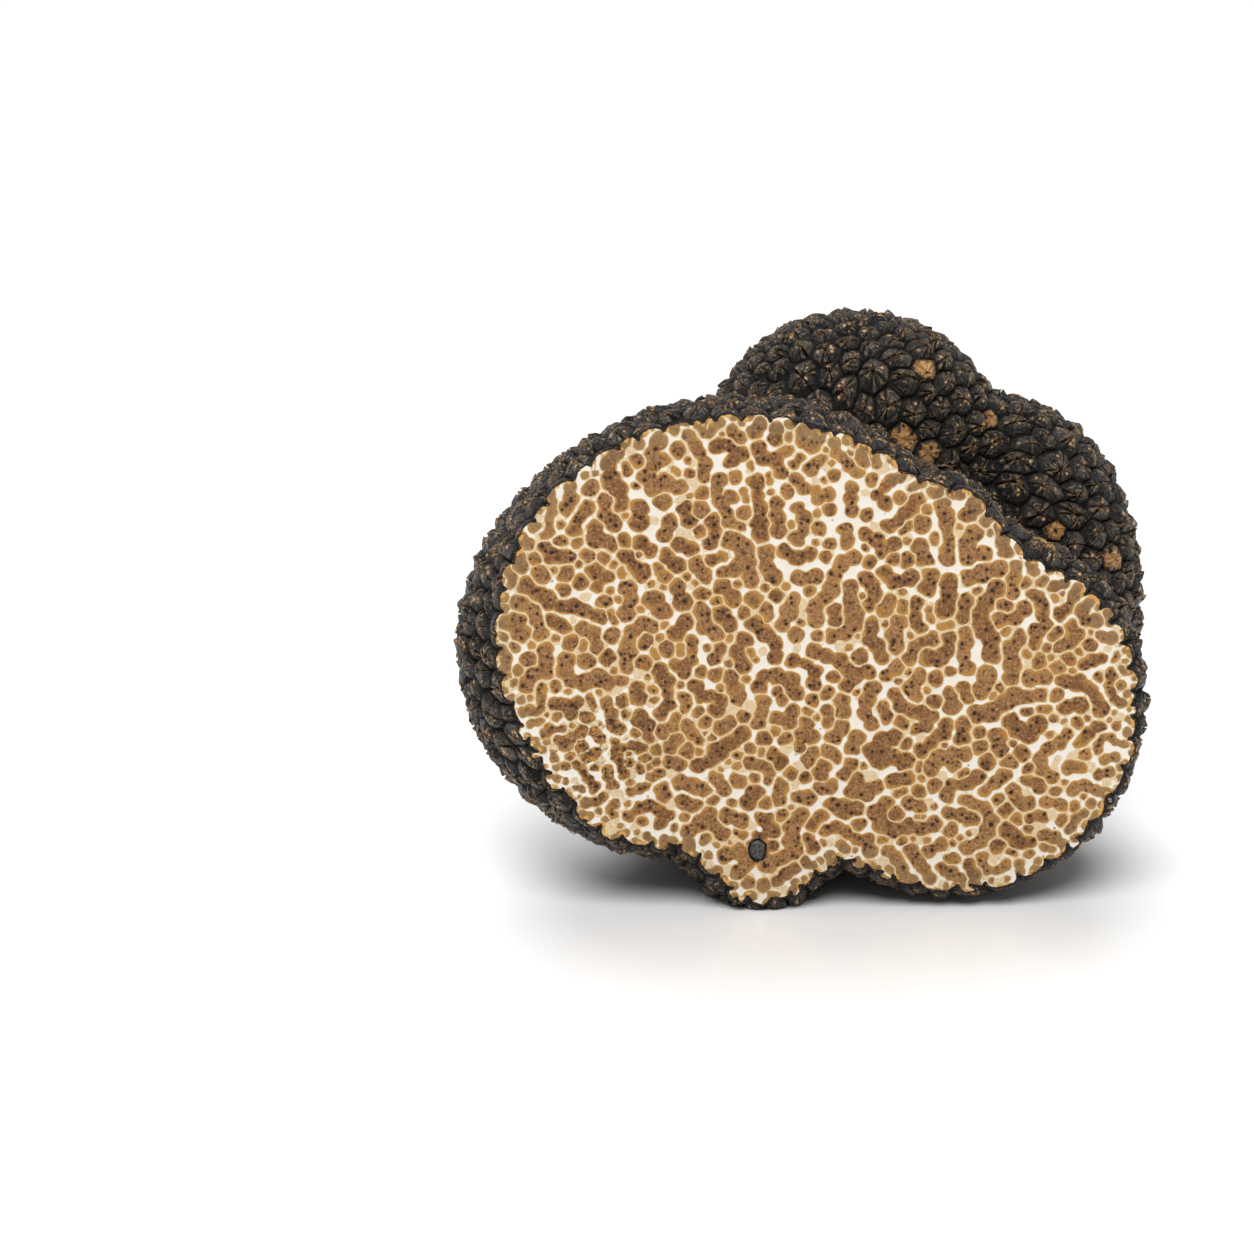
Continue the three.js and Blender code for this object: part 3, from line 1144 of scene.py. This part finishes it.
def make_flesh(shift):
    """Lobules and veins, with crumbling pores in one spot and a beaded, dark skin at the rim."""
    s = Shader("flesh", shift, 0.3)
    uneven = s.math("SUBTRACT", s.noise(0.3, 3.0), 0.5)
    depth = s.line(uneven, 0.06, s.trait("depth"))
    to_rim = s.line(uneven, 0.12, s.trait("rim_distance"))
    fibres = s.noise(0.3, 3.0, 0.7, seed=12)
    lobules = lobule_colour(s, depth, to_rim, fibres)
    colour = s.mix(s.step(depth, -0.01, 0.035), vein_colour(s, depth), lobules)

    to_fine = s.vector("DISTANCE", s.place, (FINE_SPOT[0], 0, FINE_SPOT[1]))
    pores = s.both(s.step(s.noise(0.5, 3.0, 0.65, seed=23), 0.51, 0.56), s.step(to_fine, FINE_RADIUS, 1))
    colour = s.over(colour, s.both(pores, s.step(depth, -0.04, 0.04)), "352010", 0.85)
    beads = s.both(s.spots(0.6, 0.55, 0.8, seed=9), s.step(to_rim, SKIN_WIDTH + 0.42, SKIN_WIDTH + 0.25))
    colour = s.over(colour, beads, "CF9C50")
    skin = s.mix(s.step(fibres, 0.55, 0.65), "0E0B09", "A8742F")
    colour = s.over(colour, s.step(to_rim, SKIN_WIDTH + 0.03, SKIN_WIDTH - 0.03), skin)
    height = s.line(s.step(depth, -0.1, 0.2), 0.5, fibres)
    return s.finish(colour, s.line(s.noise(0.8, seed=2), 0.3, 0.4), height, 0.06)


def golden_marks_and_painted_light(s, colour, reach, groove, grain, from_tip, tone):
    """Painted glints, pale edges along the grooves as painted highlight and stars around the tips, over
    furrows, grooves and tip holes darkened as painted shade.
    """
    # Painted glints: small pale specks over the grain.
    painted_glints = s.both(s.step(s.noise(0.13, 2.0, 0.6, seed=15), 0.62, 0.7), s.step(grain, 0.45, 0.6))
    colour = s.over(colour, painted_glints, "BDA588", 0.7)
    # Painted highlight: pale lines along the edges of the grooves.
    edges = s.both(s.step(groove, 0.0, 0.12), s.step(groove, 0.45, 0.2))
    edges = s.both(edges, s.step(s.noise(0.5, 3.0, seed=17), 0.45, 0.55))
    colour = s.over(colour, edges, "AC8E6C", 0.8)
    rays = s.noise(0.13, 2.0, 0.5, place=from_tip, seed=s.both(tone, 90))
    length = s.math("ADD", reach, s.noise(0.5, 2.0, seed=19))
    stars = s.both(s.step(rays, 0.55, 0.61), s.step(length, 1.0, 0.75))
    colour = s.over(colour, stars, "C99A62", 0.9)
    # Painted shade: near-black in the furrows between the warts and in the grooves between the wedges.
    painted_furrow_shade = s.math("MAXIMUM", s.step(reach, 0.75, 0.95), s.step(groove, 0.35, 0.9))
    colour = s.over(colour, painted_furrow_shade, "050403", 0.9)
    flecks = s.both(s.spots(0.5, 0.3, 0.5, seed=4), s.step(reach, 0.8, 0.5))
    colour = s.over(colour, flecks, "D9AE78")
    # Painted shade: the hole in each wart's tip is near-black.
    return s.over(colour, s.step(reach, 0.12, 0.05), "050403")


def make_rind_material(shift):
    """Black-brown warts with fine streaks and rings around the tips, a few of them worn, with painted
    highlights on the crests and rings, painted glints, and painted shade in the furrows, grooves and tip
    holes.
    """
    s = Shader("rind", shift, 0.45)
    tip = s.node("CombineXYZ", X=s.trait("tip_x"), Y=s.trait("tip_y"), Z=s.trait("tip_z")).outputs[0]
    reach, groove, tone = s.trait("reach"), s.trait("groove"), s.trait("tone")
    from_tip = s.vector("NORMALIZE", s.vector("SUBTRACT", s.place, tip))
    rays = s.noise(0.28, 3.0, 0.6, place=from_tip, seed=s.both(tone, 50))
    grain = s.noise(0.22, 4.0, 0.75)
    patches = s.noise(1.2, 2.0, seed=5)
    waves = s.math("SINE", s.line(s.noise(0.7, 2.0, seed=11), 12, s.both(reach, 26)))
    rings = s.both(s.line(waves, 0.5, 0.5), s.step(patches, 0.45, 0.6))

    # The random tone of each wedge lightens some facets and darkens others, partly as painted light and
    # shade.
    shade = s.line(tone, 0.45, s.line(rays, 0.7, grain))
    colour = s.mix(s.step(shade, 1.0, 1.6), "090706", "655849")
    # Painted highlights: pale grey-tan on the crests of the streaks and on the rings, standing for the
    # sheen of the ridges.
    painted_crest_highlights = s.both(s.step(rays, 0.55, 0.68), s.step(patches, 0.62, 0.45))
    painted_crest_highlights = s.math("MAXIMUM", s.both(painted_crest_highlights, 0.8), s.both(s.step(rings, 0.7, 1.0), 0.5))
    colour = s.over(colour, s.both(painted_crest_highlights, s.step(grain, 0.4, 0.6)), "C2B09B")
    colour = golden_marks_and_painted_light(s, colour, reach, groove, grain, from_tip, tone)

    ragged = s.line(rays, 2.5, s.math("ADD", reach, s.noise(0.6, 3.0)))
    fibre = s.mix(s.step(rays, 0.35, 0.65), "9A6226", "E8B878")
    fibre = s.over(fibre, s.spots(0.7, 0.5, 0.5, seed=6), "1A110A")
    colour = s.over(colour, s.both(s.trait("worn"), s.step(ragged, 2.6, 2.4)), fibre)
    height = s.line(rays, 0.8, s.line(rings, 0.3, grain))
    return s.finish(colour, s.line(s.noise(0.6, seed=2), 0.35, 0.17), height, 0.4)


def make_nodule(shift):
    """The dark, stony nodule in the pit."""
    s = Shader("nodule", shift)
    grain = s.noise(0.3, 4.0, 0.6)
    colour = s.mix(s.step(grain, 0.35, 0.7), "24211F", "5C5855")
    return s.finish(colour, s.line(grain, 0.3, 0.35), grain, 0.1)


def make_bead(shift):
    """The small white bead above the pit."""
    s = Shader("bead", shift)
    grain = s.noise(0.15, 3.0)
    return s.finish(s.mix(grain, "D9CDB8", "FBF6EC"), s.line(grain, 0.3, 0.3), grain, 0.03)


def make_floor_material():
    """A pale, slightly glossy table top."""
    s = Shader("floor", (0, 0, 0))
    haze = s.noise(60, 2.0)
    return s.finish(s.mix(haze, "F6F6F6", "F8F8F8"), s.line(haze, 0.05, 0.22), haze, 0.001)


# ---- Floor, light and camera ----

CAMERA_AIM = np.array([-19.4, 0.0, 3.5])
CAMERA_DISTANCE = 427.0
CAMERA_AZIMUTH = math.radians(-2)
CAMERA_ELEVATION = math.radians(18)
LENS = 120
SENSOR_WIDTH = 36
FLOOR_REACH = 3  # metres
SKY_LIGHT = 0.22
LAMPS = {  # brightness, direction in which the light travels, softness in degrees
    "front": (2.6, (0.1, 0.6, -1.0), 38),
    "back": (2.4, (0.1, -0.6, -1.0), 50),
}


def make_floor():
    mesh = bpy.data.meshes.new("floor")
    low, high = -FLOOR_REACH, FLOOR_REACH
    corners = [(low, low, 0), (high, low, 0), (high, high, 0), (low, high, 0)]
    mesh.from_pydata(corners, [], [(0, 1, 2, 3)])
    mesh.materials.append(make_floor_material())
    floor = add_object("floor", mesh)


def make_lights():
    """A white studio: even light from all round and two broad lamps above, in front and behind."""
    world = bpy.data.worlds.new("studio")
    world.use_nodes = True
    background = world.node_tree.nodes["Background"]
    background.inputs["Color"].default_value = (1, 1, 1, 1)
    background.inputs["Strength"].default_value = SKY_LIGHT
    bpy.context.scene.world = world
    for name, (brightness, direction, softness) in LAMPS.items():
        light = bpy.data.lights.new(name, "SUN")
        light.energy = brightness
        light.angle = math.radians(softness)
        lamp = add_object(name, light)
        lamp.rotation_euler = Vector(direction).to_track_quat("-Z", "Y").to_euler()


def make_camera(shift):
    back = np.array([
        math.sin(CAMERA_AZIMUTH) * math.cos(CAMERA_ELEVATION),
        -math.cos(CAMERA_AZIMUTH) * math.cos(CAMERA_ELEVATION),
        math.sin(CAMERA_ELEVATION),
    ])
    camera = add_object("camera", bpy.data.cameras.new("camera"))
    camera.data.lens = LENS
    camera.data.sensor_width = SENSOR_WIDTH
    camera.location = (CAMERA_AIM + shift + back * CAMERA_DISTANCE) * MM
    camera.rotation_euler = Vector(back).to_track_quat("Z", "Y").to_euler()
    bpy.context.scene.camera = camera


tips = wart_places()
shift = frame_shift(rind_points(unit(tips - BODY_CENTRE), CAD_WART_HEIGHT))
materials = [make_rind_material(shift), make_flesh(shift), make_nodule(shift), make_bead(shift)]
truffle = make_truffle(tips, materials)
truffle.data.transform(Matrix.Translation(Vector(shift * MM)) @ Matrix.Scale(MM, 4))
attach(truffle, "root")
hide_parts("truffle")
make_floor()
make_lights()
make_camera(shift)
bpy.context.scene.view_settings.view_transform = "Standard"
